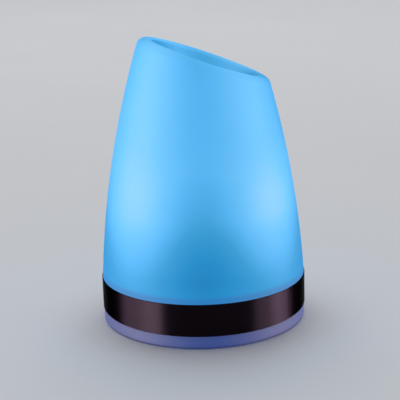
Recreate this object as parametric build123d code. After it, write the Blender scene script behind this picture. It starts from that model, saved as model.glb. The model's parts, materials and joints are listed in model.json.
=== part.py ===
from build123d import *

import math
import os

# A cordless, app-controlled table lamp with a milky shade that is cut off at a slant.
# Millimetres. The origin is on the floor under the lamp's axis, +Z is up, the slanted top
# falls towards +X, and the charging port and the power button are at the back (+Y).

# ---- outside shape ----
FOOT_PROUD = 0.4            # how far the rubber feet stand out of the base
GLOW_RING_R = 55.0          # the base's visible translucent foot ring
GLOW_RING_TOP = 6.8
BAND_R = 55.4
BAND_WALL = 1.8
BAND_TOP = 23.9
BAND_EDGE = 0.35            # the small bevel along the band's two edges
SHADE_BOTTOM = 24.0
SHADE_R_BOTTOM = 55.0
SHADE_R_MIDDLE = 45.8       # the shade's side is one large arc through these three radii
SHADE_R_TOP = 26.4
SHADE_ARC_STEP = 70.0       # height from each of the three radii to the next
SHADE_WALL = 2.2
REACH_STEPS = 30            # repeats that settle where the slant meets the shade's side
SLANT = 20.0                # degrees, the top's fall towards +X
SLANT_HEIGHT = 142.6        # height of the slanted plane on the lamp's axis
RIM_WIDTH = 6.8             # from the shade's side to the dish's edge
RIM_OUTER_ROUND = 4.5
RIM_INNER_ROUND = 1.6
DISH_DEPTH = 6.5
DISH_FLOOR_ROUND = 2.5

# ---- base tub ----
TUB_FLOOR_TOP = 3.0
TUB_WALL_IN = 51.4
TUB_WALL_OUT = 53.4
TUB_WALL_TOP = 22.8
RING_EDGE_ROUND = 0.8
SPIGOT_IN = 49.2
SPIGOT_OUT = 51.2
SPIGOT_BOTTOM = 21.3
FLANGE_TOP = 26.2
BACK_SPAN = (45.0, 60.0)    # radii between which anything at the back wall is cut

# ---- fasteners: head radius, head height, shaft radius ----
CASE_SCREW = (2.8, 2.0, 1.4)
SMALL_SCREW = (2.1, 1.4, 0.95)
TINY_SCREW = (1.7, 1.0, 0.8)
THREAD_GAP = 0.05           # between a screw's shaft and the hole it is turned into
THREAD_END_GAP = 0.5        # left under a screw's tip
FIT = 0.1                   # between pieces of one body that drop into each other

HEAD_EDGE_SHARE = 0.3       # of the head's height, taken off its edge
RECESS_SLOT = 0.6           # the cross recess: slot width, and shares of the head it takes up
RECESS_WIDTH_SHARE = 0.6
RECESS_DEPTH_SHARE = 0.55

CASE_POST_R = 46.6          # from the axis to each of the four case screws
CASE_POST_ANGLES = (45, 135, 225, 315)
CASE_POST_RADIUS = 4.2
CASE_POST_TOP = 17.9
CASE_HEAD_TOP = 5.6
LUG_RADIUS = 3.6
LUG_BOTTOM = 18.0
LUG_BORE_TOP = 25.0
FOOT_RADIUS = 6.0
FOOT_SOCKET_DEPTH = 1.2
FOOT_EDGE = 0.4

# ---- main board and what is on it ----
PCB = 1.6
BOARD_TOP = 13.8
BOARD_R = 50.6
BOARD_HALF_WIDTH = 27.0
BOARD_FRONT = 1.0
BOARD_HOLES = ((22, 6), (-22, 6), (22, 36), (-22, 36))
BOARD_BORE_BOTTOM = 6.0
BOARD_SCREW_TIP = 7.0
STANDOFF_RADIUS = 3.0
CONNECTOR_TOP = 19.8
CONNECTOR_CORNER = 0.5
CHOKE = (7.0, 4.0)          # side and height of the charging circuit's choke
CHOKE_CORNER = 1.2
CAPACITOR_PLACES = ((21, 25), (8, 14), (-4, 17))
CAPACITOR_RADIUS = 3.15
CAPACITOR_BASE = (6.6, 1.0)  # side and height of its square base
CAPACITOR_HEIGHT = 7.0
CAPACITOR_EDGE_ROUND = 0.5
DRIVER_PLACES = ((14, 14), (14, 20), (14, 26), (14, 32))
MODULE_THICK = 0.8
LED_CONNECTOR_Y = 29.0
LED_WIRE_X = (-2.4, -0.8, 0.8, 2.4)
LED_WIRE_RADIUS = 0.5
LED_WIRE_BEND = 2.2
LED_WIRE_RUN_Z = 22.6       # where the wires cross over to the tray's slot
BATTERY_CONNECTOR_Y = 7.0
BATTERY_PIN_X = 1.6
PIN_HOLE_DEPTH = 3.0
WIRE_END_DEPTH = 2.5        # how far a wire goes into its connector

# ---- charging port ----
PORT_ANGLE = 104.0
SOCKET_WIDTH = 8.94
SOCKET_HEIGHT = 3.26
SOCKET_MOUTH_R = 53.0
SOCKET_LENGTH = 7.35
SOCKET_SHELL = 0.3
SOCKET_CORNER = 1.62        # just under half the height
SOCKET_BACK_WALL = 1.0
TONGUE = (6.6, 0.7)         # width and thickness of the contact tongue
TONGUE_SET_BACK = 0.8
PORT_Z = BOARD_TOP + SOCKET_HEIGHT / 2
FRAME_HALF_HEIGHT = 5.5
FRAME_CORNER = 2.0
FRAME_SIDE = (-9.2, 11.6)   # how far the port frame reaches to each side of the socket
FRAME_FACE_R = 55.3
COVER_HALF_HEIGHT = 3.9
COVER_FREE_END = -7.2
COVER_R = (54.0, 55.2)
COVER_SPAN = (PORT_Z - COVER_HALF_HEIGHT, PORT_Z + COVER_HALF_HEIGHT)
COVER_GAP = 0.3
NAIL_NOTCH = (57.5, 3.4)    # radius of its centre from the axis, and its own radius
HINGE_R = 53.8              # from the lamp's axis to the cover's hinge pin
HINGE_OFFSET = 8.6          # degrees, from the socket to the hinge pin
HINGE_X = HINGE_R * math.cos(math.radians(HINGE_OFFSET))
HINGE_Y = HINGE_R * math.sin(math.radians(HINGE_OFFSET))
KNUCKLE_RADIUS = 1.2
PIN_RADIUS = 0.55
PIN_SPAN = (PORT_Z - 4.8, PORT_Z + 4.8)
PIN_RUNNING_GAP = 0.05
HINGE_RELIEF = 2.2          # room beside the pin for the cover's root to swing into

# ---- power button ----
BUTTON_ANGLE = 76.0
BUTTON_Z = PORT_Z
BUTTON_RADIUS = 4.5
BUTTON_FACE_R = 55.2
BUTTON_FLANGE_RADIUS = 5.5
BUTTON_FLANGE_R = (49.9, 50.9)
BUTTON_GAP = 0.3
BUTTON_EDGE_ROUND = 0.5
STEM_RADIUS = 1.6
PLUNGER_RADIUS = 1.2
PLUNGER_R = (44.5, 47.3)    # the switch plunger's two ends, from the lamp's axis
SWITCH_R = (42.6, 46.2)
SWITCH_WIDTH = 6.0
SWITCH_HEIGHT = 3.5
SWITCH_BORE_R = 43.5        # where the plunger's bore ends inside the switch
LIGHT_PIPE_ANGLE = 90.0
LIGHT_PIPE_R = (47.4, BUTTON_FACE_R)
SPRING_COIL_RADIUS = 2.5
SPRING_WIRE_RADIUS = 0.25
SPRING_TURNS = 3

# ---- light engine ----
TRAY_BOTTOM = 25.0
TRAY_TOP = 26.6
TRAY_R = 42.2
TRAY_RIM = (1.2, 2.0)       # width and height of the wall round its edge
TRAY_POSTS = ((36, 12), (-36, 12), (14, -36), (-14, -36))
TRAY_BORE_BOTTOM = 15.0
TRAY_SCREW_TIP = 16.0
PILLAR_SIDE = 24.0
PILLAR_WALL = 2.5
PILLAR_CORNER = 1.2
PILLAR_TOP = 98.0
PILLAR_SCREW_TIP = 36.0
PILLAR_CHANNEL = 7.4        # from the pillar's middle to each screw channel, along its sides
CHANNEL_SIDE = 4.8
CHANNEL_R = PILLAR_CHANNEL * math.sqrt(2)
CHANNEL_ANGLES = (0, 90, 180, 270)
FACE_ANGLES = (45, 135, 225, 315)
LED_BOARD = (18.0, 62.0)    # width and height
LED_BOARD_BOTTOM = 34.0
LED_HEIGHTS = (43, 54, 65, 76, 87)
LED_SIDE = 5.0
LED_DEEP = 1.6
LED_WINDOW = (2.0, 0.4)     # radius and depth of the round window in its face
LED_BOARD_SCREWS = (37.5, 92.5)
RING_BOARD_R = 27.0
RING_BOARD_GAP = 0.3
HEADER_NEAR = 0.3           # the pin strips' two faces, out from the pillar's side
HEADER_FAR = 2.8
HEADER_LENGTH = 10.0
HEADER_PINS = 4
HEADER_PITCH = 2.5
HEADER_GROOVE = (0.8, 0.6)  # width and depth of the groove for each pin
HEADER_GROOVE_BOTTOM = 30.0
CAP_R = 18.5
CAP_THICK = 2.0
CAP_EDGE_ROUND = 1.0
CAP_PLUG = (2.0, 4.0)       # wall and depth of the plug that drops into the pillar
CAP_PLUG_NOTCH = 7.0        # side of the plug's cut-outs round the screw channels
WIRE_SLOT_Y = 21.5
WIRE_SLOT = (8.0, 2.4)

# ---- battery ----
CELL_RADIUS = 9.25
CELL_LENGTH = 65.0
CELL_Y = -17.0
CRADLE_PLATE = (4.2, 5.2)   # bottom and top of its plate
CELL_Z = CRADLE_PLATE[1] + 0.1 + CELL_RADIUS
CELL_EDGE_ROUND = 0.6
CRADLE_SIZE = (48.0, 28.0)
SADDLE_X = 20.0
SADDLE_SIZE = (6.0, 22.0)
SADDLE_TOP = 12.0
CRADLE_SCREWS = ((0, CELL_Y - 12.0), (0, CELL_Y + 12.0))
CRADLE_SCREW_TIP = 2.0
CRADLE_BOSS_RADIUS = 2.5
CRADLE_BORE_BOTTOM = 1.8
STRAP_X = -11.0
STRAP_WIDTH = 8.0
STRAP_THICK = 0.5
TAB_SIZE = (0.3, 6.0, 12.0)
LEAD_RADIUS = 0.8
LEAD_Z = 22.9
LEAD_START_Z = CELL_Z - 2.0
LEAD_TURN_Y = -4.0          # where the leads leave the cell's ends for the connector
LEAD_BENDS = (4.5, 9.0, 2.4)

nodes = {}


# ---- small helpers ----
def disc(radius, low, high, x=0.0, y=0.0):
    """An upright cylinder between two heights."""
    return Pos(x, y, (low + high) / 2) * Cylinder(radius, high - low)


def ring(inner, outer, low, high):
    """An upright tube on the lamp's axis."""
    return disc(outer, low, high) - disc(inner, low, high)


def block(x_span, y_span, z_span):
    """A box between two values on each axis."""
    centre = [(a + b) / 2 for a, b in (x_span, y_span, z_span)]
    size = [b - a for a, b in (x_span, y_span, z_span)]
    return Pos(*centre) * Box(*size)


def rod(radius, near, far, z):
    """A cylinder that lies along +X, from one distance to another."""
    return Pos((near + far) / 2, 0, z) * Rot(0, 90, 0) * Cylinder(radius, far - near)


def slot_block(width, height, near, far, z, corner):
    """A bar along +X with rounded long edges."""
    section = Plane(origin=(near, 0, z), x_dir=(0, 1, 0), z_dir=(1, 0, 0)) * RectangleRounded(
        width, height, corner
    )
    return extrude(section, far - near)


def turned(shape, angle):
    """The shape turned about the lamp's axis."""
    return Rot(0, 0, angle) * shape


def centred_block(centre_x, centre_y, x_size, y_size, z_span):
    """A box given by its middle and its size across."""
    return block(
        (centre_x - x_size / 2, centre_x + x_size / 2),
        (centre_y - y_size / 2, centre_y + y_size / 2),
        z_span,
    )


def round_places(radius, angles):
    """Points on a circle about the lamp's axis."""
    return [
        (radius * math.cos(math.radians(a)), radius * math.sin(math.radians(a))) for a in angles
    ]


def screw(kind, x, y, seat, tip):
    """A pan-head screw whose head rests on the height seat and whose tip is above or below it."""
    head_radius, head_height, shaft_radius = kind
    up = 1 if tip > seat else -1
    head_span = sorted((seat, seat - up * head_height))
    shaft_span = sorted((seat, tip))
    head = disc(head_radius, *head_span, x, y)
    outer_edge = head.edges().sort_by(Axis.Z)[0 if up > 0 else -1]
    head = chamfer(outer_edge, head_height * HEAD_EDGE_SHARE)
    recess_floor = seat - up * head_height * (1 - RECESS_DEPTH_SHARE)
    recess_span = sorted((seat - up * head_height, recess_floor))
    long_side = 2 * head_radius * RECESS_WIDTH_SHARE
    head -= centred_block(x, y, RECESS_SLOT, long_side, recess_span)
    head -= centred_block(x, y, long_side, RECESS_SLOT, recess_span)
    return head + disc(shaft_radius, *shaft_span, x, y)


def wire(points, radii, radius):
    """A round wire along straight runs joined by tangent arcs."""
    path = FilletPolyline(*points, radius=radii)
    start = Plane(origin=path @ 0, z_dir=path % 0)
    return sweep(start * Circle(radius), path=path)


def group(*solids):
    """Several separate solids in one node."""
    return Compound(children=list(solids))


# ---- the shade's side: one arc through three radii ----
def shade_profile(inset):
    """A half section of the shade's outside, moved inwards by inset, as a closed face."""
    low = (SHADE_R_BOTTOM - inset, SHADE_BOTTOM)
    middle = (SHADE_R_MIDDLE - inset, SHADE_BOTTOM + SHADE_ARC_STEP)
    high = (SHADE_R_TOP - inset, SHADE_BOTTOM + 2 * SHADE_ARC_STEP)
    side = ThreePointArc(low, middle, high)
    rest = Polyline(high, (0, high[1]), (0, low[1]), low)
    return make_face([side, rest])


def shade_body(inset):
    """The solid inside that profile."""
    return revolve(Plane.XZ * shade_profile(inset), Axis.Z)


def shade_radius(z):
    """The outside radius at a height, from the parabola through the same three radii."""
    t = (z - SHADE_BOTTOM) / SHADE_ARC_STEP
    first = SHADE_R_MIDDLE - SHADE_R_BOTTOM
    second = SHADE_R_TOP - SHADE_R_MIDDLE
    return SHADE_R_BOTTOM + first * t + (second - first) * t * (t - 1) / 2


def slant_reach(direction):
    """How far the slanted plane runs along X, to direction 1 or -1, before it meets the side."""
    reach = SHADE_R_TOP
    for _ in range(REACH_STEPS):
        reach = shade_radius(SLANT_HEIGHT - direction * reach * math.tan(math.radians(SLANT)))
    return reach


def above_slant(depth):
    """Everything above the slanted plane moved down, square to itself, by depth."""
    wide = 2 * SLANT_HEIGHT
    slab = centred_block(0, 0, wide, wide, (-depth, SLANT_HEIGHT))
    return Pos(0, 0, SLANT_HEIGHT) * Rot(0, SLANT, 0) * slab


def dish_cutter():
    """The shallow oval dish in the slanted top."""
    low_side = slant_reach(1)
    high_side = slant_reach(-1)
    half_length = (low_side + high_side) / 2 / math.cos(math.radians(SLANT)) - RIM_WIDTH
    half_width = shade_radius(SLANT_HEIGHT) - RIM_WIDTH
    offset = (low_side - high_side) / 2 / math.cos(math.radians(SLANT))
    oval = extrude(Ellipse(half_length, half_width), -DISH_DEPTH)
    oval = fillet(oval.edges().sort_by(Axis.Z)[0], DISH_FLOOR_ROUND)
    return Pos(0, 0, SLANT_HEIGHT) * Rot(0, SLANT, 0) * Pos(offset, 0, 0) * oval


def make_shade():
    """The milky shade: slanted dished top, thin wall, and a foot that plugs into the tub."""
    outside = shade_body(0) - above_slant(0)
    slanted_edge = outside.edges().sort_by(Axis.Z)[-1]
    outside = fillet(slanted_edge, RIM_OUTER_ROUND)
    outside -= dish_cutter()
    dish_edge = outside.faces().filter_by(GeomType.PLANE).sort_by(Axis.Z)[-1].inner_wires()[0]
    outside = fillet(dish_edge.edges(), RIM_INNER_ROUND)
    inside = shade_body(SHADE_WALL) - above_slant(DISH_DEPTH + SHADE_WALL)
    shell = outside - inside
    foot = ring(SPIGOT_IN, SPIGOT_OUT, SPIGOT_BOTTOM, FLANGE_TOP)
    foot += ring(SPIGOT_IN, SHADE_R_BOTTOM - SHADE_WALL / 2, SHADE_BOTTOM, FLANGE_TOP)
    shell += foot
    for x, y in round_places(CASE_POST_R, CASE_POST_ANGLES):
        shell += disc(LUG_RADIUS, LUG_BOTTOM, FLANGE_TOP, x, y)
    for x, y in round_places(CASE_POST_R, CASE_POST_ANGLES):
        shell -= disc(CASE_SCREW[2] + THREAD_GAP, LUG_BOTTOM, LUG_BORE_TOP, x, y)
    return shell


# ---- base ----
def port_window(margin=0.0):
    """The rounded window that the port frame fills, before it is turned to its place."""
    width = FRAME_SIDE[1] - FRAME_SIDE[0] + 2 * margin
    height = 2 * (FRAME_HALF_HEIGHT + margin)
    window = slot_block(width, height, *BACK_SPAN, PORT_Z, FRAME_CORNER)
    return Pos(0, sum(FRAME_SIDE) / 2, 0) * window


def rear_holes():
    """The window and the two round holes that the band and the tub both have."""
    window = turned(port_window(FIT), PORT_ANGLE)
    button_hole = rod(BUTTON_RADIUS + BUTTON_GAP, *BACK_SPAN, BUTTON_Z)
    light_hole = rod(PLUNGER_RADIUS + THREAD_GAP, *BACK_SPAN, BUTTON_Z)
    return window + turned(button_hole, BUTTON_ANGLE) + turned(light_hole, LIGHT_PIPE_ANGLE)


def make_band():
    """The polished steel band around the base."""
    band = disc(BAND_R, GLOW_RING_TOP, BAND_TOP)
    band = chamfer(band.edges().filter_by(GeomType.CIRCLE), BAND_EDGE)
    return band - disc(BAND_R - BAND_WALL, GLOW_RING_TOP, BAND_TOP) - rear_holes()


def make_tub():
    """The translucent base: floor, visible foot ring, wall behind the band, and posts."""
    tub = disc(GLOW_RING_R, FOOT_PROUD, GLOW_RING_TOP) - disc(
        TUB_WALL_IN, TUB_FLOOR_TOP, GLOW_RING_TOP
    )
    tub = fillet(tub.edges().sort_by(Axis.Z)[0], RING_EDGE_ROUND)
    tub += ring(TUB_WALL_IN, TUB_WALL_OUT, TUB_FLOOR_TOP, TUB_WALL_TOP)
    case_places = round_places(CASE_POST_R, CASE_POST_ANGLES)
    for x, y in case_places:
        tub += disc(CASE_POST_RADIUS, TUB_FLOOR_TOP, CASE_POST_TOP, x, y)
    for x, y in BOARD_HOLES:
        tub += disc(STANDOFF_RADIUS, TUB_FLOOR_TOP, BOARD_TOP - PCB, x, y)
    for x, y in TRAY_POSTS:
        tub += disc(STANDOFF_RADIUS, TUB_FLOOR_TOP, TRAY_BOTTOM, x, y)
    for x, y in CRADLE_SCREWS:
        tub += disc(CRADLE_BOSS_RADIUS, TUB_FLOOR_TOP, CRADLE_PLATE[0], x, y)
    for x, y in case_places:
        tub -= disc(FOOT_RADIUS + FIT, FOOT_PROUD, FOOT_PROUD + FOOT_SOCKET_DEPTH, x, y)
        tub -= disc(CASE_SCREW[0] + FIT, FOOT_PROUD, CASE_HEAD_TOP, x, y)
        tub -= disc(CASE_SCREW[2] + FIT, CASE_HEAD_TOP, CASE_POST_TOP, x, y)
    small_bore = SMALL_SCREW[2] + THREAD_GAP
    for x, y in BOARD_HOLES:
        tub -= disc(small_bore, BOARD_BORE_BOTTOM, BOARD_TOP - PCB, x, y)
    for x, y in TRAY_POSTS:
        tub -= disc(small_bore, TRAY_BORE_BOTTOM, TRAY_BOTTOM, x, y)
    for x, y in CRADLE_SCREWS:
        tub -= disc(TINY_SCREW[2] + THREAD_GAP, CRADLE_BORE_BOTTOM, CRADLE_PLATE[0], x, y)
    return tub - rear_holes()


def make_foot_pads():
    """Four round rubber feet that cover the case screws."""
    pads = []
    for x, y in round_places(CASE_POST_R, CASE_POST_ANGLES):
        pad = disc(FOOT_RADIUS, 0, FOOT_PROUD + FOOT_SOCKET_DEPTH, x, y)
        pads.append(chamfer(pad.edges().sort_by(Axis.Z)[0], FOOT_EDGE))
    return group(*pads)


nodes["shade"] = make_shade()
nodes["metal_band"] = make_band()
nodes["base_tub"] = make_tub()
nodes["foot_pads"] = make_foot_pads()
nodes["shade_gasket"] = ring(TUB_WALL_IN, TUB_WALL_OUT, TUB_WALL_TOP, SHADE_BOTTOM)
nodes["base_screws"] = group(
    *[
        screw(CASE_SCREW, x, y, CASE_HEAD_TOP, LUG_BORE_TOP - THREAD_END_GAP)
        for x, y in round_places(CASE_POST_R, CASE_POST_ANGLES)
    ]
)


# ---- light engine ----
def make_tray():
    """The white plate that closes the base and carries the light pillar."""
    tray = disc(TRAY_R, TRAY_BOTTOM, TRAY_TOP)
    rim_width, rim_height = TRAY_RIM
    tray += ring(TRAY_R - rim_width, TRAY_R, TRAY_TOP, TRAY_TOP + rim_height)
    for x, y in (*TRAY_POSTS, *round_places(CHANNEL_R, CHANNEL_ANGLES)):
        tray -= disc(SMALL_SCREW[2] + FIT, TRAY_BOTTOM, TRAY_TOP, x, y)
    return tray - centred_block(0, WIRE_SLOT_Y, *WIRE_SLOT, (TRAY_BOTTOM, TRAY_TOP))


def make_pillar():
    """The square aluminium tube that the LED boards are screwed to."""
    half = PILLAR_SIDE / 2
    bore = PILLAR_SIDE - 2 * PILLAR_WALL
    span = (TRAY_TOP, PILLAR_TOP)
    pillar = centred_block(0, 0, PILLAR_SIDE, PILLAR_SIDE, span)
    pillar = chamfer(pillar.edges().filter_by(Axis.Z), PILLAR_CORNER)
    pillar -= centred_block(0, 0, bore, bore, span)
    for x_side in (-1, 1):
        for y_side in (-1, 1):
            x = x_side * PILLAR_CHANNEL
            y = y_side * PILLAR_CHANNEL
            pillar += centred_block(x, y, CHANNEL_SIDE, CHANNEL_SIDE, span)
            pillar -= disc(SMALL_SCREW[2] + THREAD_GAP, *span, x, y)
    for z in LED_BOARD_SCREWS:
        cross_hole = rod(TINY_SCREW[2] + THREAD_GAP, -half, half, z)
        pillar -= cross_hole
        pillar -= turned(cross_hole, 90)
    return turned(pillar, FACE_ANGLES[0])


def make_led_board(angle):
    """One LED board on a face of the pillar."""
    width, height = LED_BOARD
    near = PILLAR_SIDE / 2
    board = block(
        (near, near + PCB), (-width / 2, width / 2), (LED_BOARD_BOTTOM, LED_BOARD_BOTTOM + height)
    )
    for z in LED_BOARD_SCREWS:
        board -= rod(TINY_SCREW[2] + FIT, near, near + PCB, z)
    return turned(board, angle)


def make_leds(angle):
    """The four-colour LEDs on one board."""
    near = PILLAR_SIDE / 2 + PCB
    far = near + LED_DEEP
    half = LED_SIDE / 2
    window_radius, window_depth = LED_WINDOW
    lights = []
    for z in LED_HEIGHTS:
        body = block((near, far), (-half, half), (z - half, z + half))
        body -= rod(window_radius, far - window_depth, far, z)
        lights.append(turned(body, angle))
    return group(*lights)


def make_led_board_screws():
    """Two small screws through each LED board into the pillar's wall."""
    face = PILLAR_SIDE / 2 + PCB
    tip = PILLAR_SIDE / 2 - PILLAR_WALL + FIT
    head_radius, head_height, shaft_radius = TINY_SCREW
    screws = []
    for angle in FACE_ANGLES:
        for z in LED_BOARD_SCREWS:
            shaft = rod(shaft_radius, tip, face, z)
            head = rod(head_radius, face, face + head_height, z)
            screws.append(turned(shaft + head, angle))
    return group(*screws)


def make_ring_board():
    """The board round the pillar's foot that feeds the four LED boards."""
    span = (TRAY_TOP, TRAY_TOP + PCB)
    side = PILLAR_SIDE + 2 * RING_BOARD_GAP
    hole = turned(centred_block(0, 0, side, side, span), FACE_ANGLES[0])
    return disc(RING_BOARD_R, *span) - hole


def make_link_headers():
    """The pin strips that stand on the ring board under each LED board."""
    near = PILLAR_SIDE / 2 + HEADER_NEAR
    far = PILLAR_SIDE / 2 + HEADER_FAR
    half = HEADER_LENGTH / 2
    groove_width, groove_depth = HEADER_GROOVE
    strips = []
    for angle in FACE_ANGLES:
        strip = block((near, far), (-half, half), (TRAY_TOP + PCB, LED_BOARD_BOTTOM))
        for index in range(HEADER_PINS):
            y = (index - (HEADER_PINS - 1) / 2) * HEADER_PITCH
            strip -= block(
                (far - groove_depth, far),
                (y - groove_width / 2, y + groove_width / 2),
                (HEADER_GROOVE_BOTTOM, LED_BOARD_BOTTOM),
            )
        strips.append(turned(strip, angle))
    return group(*strips)


def make_pillar_cap():
    """The white cap that keeps the pillar's top from showing as a spot."""
    cap = disc(CAP_R, PILLAR_TOP, PILLAR_TOP + CAP_THICK)
    cap = fillet(cap.edges().sort_by(Axis.Z)[-1], CAP_EDGE_ROUND)
    reach = PILLAR_SIDE / 2 - PILLAR_WALL - FIT
    plug_wall, plug_depth = CAP_PLUG
    plug_span = (PILLAR_TOP - plug_depth, PILLAR_TOP)
    plug = ring(reach - plug_wall, reach, *plug_span)
    for x, y in round_places(CHANNEL_R, FACE_ANGLES):
        plug -= centred_block(x, y, CAP_PLUG_NOTCH, CAP_PLUG_NOTCH, plug_span)
    return turned(cap + plug, FACE_ANGLES[0])


nodes["light_tray"] = make_tray()
nodes["led_pillar"] = make_pillar()
nodes["pillar_cap"] = make_pillar_cap()
nodes["ring_board"] = make_ring_board()
nodes["link_headers"] = make_link_headers()
nodes["led_board_screws"] = make_led_board_screws()
for number, face_angle in enumerate(FACE_ANGLES, start=1):
    nodes[f"led_board_{number}"] = make_led_board(face_angle)
    nodes[f"leds_{number}"] = make_leds(face_angle)
nodes["tray_screws"] = group(
    *[screw(SMALL_SCREW, x, y, TRAY_TOP, TRAY_SCREW_TIP) for x, y in TRAY_POSTS]
)
nodes["pillar_screws"] = group(
    *[
        screw(SMALL_SCREW, x, y, TRAY_BOTTOM, PILLAR_SCREW_TIP)
        for x, y in round_places(CHANNEL_R, CHANNEL_ANGLES)
    ]
)


# ---- main board ----
def make_main_board():
    """The main board, which follows the tub's wall at the back."""
    board = disc(BOARD_R, BOARD_TOP - PCB, BOARD_TOP)
    board &= block(
        (-BOARD_HALF_WIDTH, BOARD_HALF_WIDTH), (BOARD_FRONT, BOARD_R), (BOARD_TOP - PCB, BOARD_TOP)
    )
    for x, y in BOARD_HOLES:
        board -= disc(SMALL_SCREW[2] + FIT, BOARD_TOP - PCB, BOARD_TOP, x, y)
    side = BUTTON_FLANGE_RADIUS + BUTTON_GAP
    notch = block((SWITCH_R[1], BOARD_R), (-side, side), (BOARD_TOP - PCB, BOARD_TOP))
    return board - turned(notch, BUTTON_ANGLE)


def on_board(x_size, y_size, height, x, y, lift=0.0):
    """A block that stands on the main board."""
    low = BOARD_TOP + lift
    return centred_block(x, y, x_size, y_size, (low, low + height))


def connector(x_size, y_size, x, y, pins):
    """A wire connector with one round hole for each wire in its top."""
    body = on_board(x_size, y_size, CONNECTOR_TOP - BOARD_TOP, x, y)
    body = chamfer(body.edges().filter_by(Axis.Z), CONNECTOR_CORNER)
    for pin_x, radius in pins:
        body -= disc(radius, CONNECTOR_TOP - PIN_HOLE_DEPTH, CONNECTOR_TOP, pin_x, y)
    return body


def make_capacitor(x, y):
    """An upright can capacitor on its square base."""
    side, thick = CAPACITOR_BASE
    base = on_board(side, side, thick, x, y)
    can = disc(CAPACITOR_RADIUS, BOARD_TOP + thick, BOARD_TOP + CAPACITOR_HEIGHT, x, y)
    can = fillet(can.edges().sort_by(Axis.Z)[-1], CAPACITOR_EDGE_ROUND)
    return base + can


def make_inductor():
    """The round-cornered choke of the charging circuit."""
    side, height = CHOKE
    body = on_board(side, side, height, 22.0, 15.5)
    return chamfer(body.edges().filter_by(Axis.Z), CHOKE_CORNER)


nodes["main_board"] = make_main_board()
nodes["board_screws"] = group(
    *[screw(SMALL_SCREW, x, y, BOARD_TOP, BOARD_SCREW_TIP) for x, y in BOARD_HOLES]
)
nodes["wireless_module"] = on_board(16.0, 18.0, MODULE_THICK, -17.0, 21.0)
nodes["module_shield"] = on_board(14.0, 11.5, 2.2, -17.0, 18.5, lift=MODULE_THICK)
nodes["driver_chips"] = group(*[on_board(5.0, 4.0, 1.5, x, y) for x, y in DRIVER_PLACES])
nodes["charge_chip"] = on_board(5.0, 5.0, 1.0, -8.0, 35.0)
nodes["inductor"] = make_inductor()
nodes["capacitors"] = group(*[make_capacitor(x, y) for x, y in CAPACITOR_PLACES])


def make_led_wires():
    """Four wires from the main board up through the tray to the ring board."""
    wires = []
    for x in LED_WIRE_X:
        points = [
            (x, LED_CONNECTOR_Y, CONNECTOR_TOP - WIRE_END_DEPTH),
            (x, LED_CONNECTOR_Y, LED_WIRE_RUN_Z),
            (x, WIRE_SLOT_Y, LED_WIRE_RUN_Z),
            (x, WIRE_SLOT_Y, TRAY_TOP),
        ]
        wires.append(wire(points, [LED_WIRE_BEND, LED_WIRE_BEND], LED_WIRE_RADIUS))
    return group(*wires)


nodes["led_connector"] = connector(
    9.0, 4.5, 0.0, LED_CONNECTOR_Y, [(x, LED_WIRE_RADIUS + FIT) for x in LED_WIRE_X]
)
nodes["led_wires"] = make_led_wires()
nodes["battery_connector"] = connector(
    8.0,
    5.0,
    0.0,
    BATTERY_CONNECTOR_Y,
    [(side * BATTERY_PIN_X, LEAD_RADIUS + FIT) for side in (-1, 1)],
)


# ---- battery ----
def along_cell(radius, length):
    """A cylinder on the cell's own axis."""
    return Pos(0, CELL_Y, CELL_Z) * Rot(0, 90, 0) * Cylinder(radius, length)


def make_cell():
    """The rechargeable cell, lying across the base."""
    body = along_cell(CELL_RADIUS, CELL_LENGTH)
    return fillet(body.edges().filter_by(GeomType.CIRCLE), CELL_EDGE_ROUND)


def make_cradle():
    """The saddle that holds the cell."""
    low, high = CRADLE_PLATE
    cradle = centred_block(0, CELL_Y, *CRADLE_SIZE, CRADLE_PLATE)
    for x in (-SADDLE_X, SADDLE_X):
        cradle += centred_block(x, CELL_Y, *SADDLE_SIZE, (high, SADDLE_TOP))
    cradle -= along_cell(CELL_RADIUS + FIT, CELL_LENGTH)
    for x, y in CRADLE_SCREWS:
        cradle -= disc(TINY_SCREW[2] + FIT, low, high, x, y)
    return cradle


def make_strap():
    """The strap over the cell, hooked to the cradle's plate on both sides."""
    inner = CELL_RADIUS + FIT
    outer = inner + STRAP_THICK
    leg_span = (CRADLE_PLATE[1], CELL_Z)
    strap = along_cell(outer, STRAP_WIDTH)
    strap -= centred_block(0, CELL_Y, STRAP_WIDTH, 2 * outer, (CELL_Z - outer, CELL_Z))
    strap += centred_block(0, CELL_Y, STRAP_WIDTH, 2 * outer, leg_span)
    strap -= along_cell(inner, STRAP_WIDTH)
    strap -= centred_block(0, CELL_Y, STRAP_WIDTH, 2 * inner, leg_span)
    return Pos(STRAP_X, 0, 0) * strap


def make_battery_tabs():
    """The nickel tabs welded to the cell's two ends."""
    thick, width, height = TAB_SIZE
    span = (CELL_Z - height / 2, CELL_Z + height / 2)
    place = (CELL_LENGTH + thick) / 2
    return group(*[centred_block(x, CELL_Y, thick, width, span) for x in (-place, place)])


def battery_lead(side):
    """The lead from one end of the cell to the battery connector."""
    out = side * (CELL_LENGTH / 2 + TAB_SIZE[0] + LEAD_RADIUS)
    pin = side * BATTERY_PIN_X
    points = [
        (out, CELL_Y, LEAD_START_Z),
        (out, CELL_Y, LEAD_Z),
        (out, LEAD_TURN_Y, LEAD_Z),
        (pin, BATTERY_CONNECTOR_Y, LEAD_Z),
        (pin, BATTERY_CONNECTOR_Y, CONNECTOR_TOP - WIRE_END_DEPTH),
    ]
    return wire(points, LEAD_BENDS, LEAD_RADIUS)


nodes["battery_cell"] = make_cell()
nodes["battery_cradle"] = make_cradle()
nodes["battery_strap"] = make_strap()
nodes["battery_tabs"] = make_battery_tabs()
nodes["battery_lead_positive"] = battery_lead(1)
nodes["battery_lead_negative"] = battery_lead(-1)
nodes["cradle_screws"] = group(
    *[screw(TINY_SCREW, x, y, CRADLE_PLATE[1], CRADLE_SCREW_TIP) for x, y in CRADLE_SCREWS]
)


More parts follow.
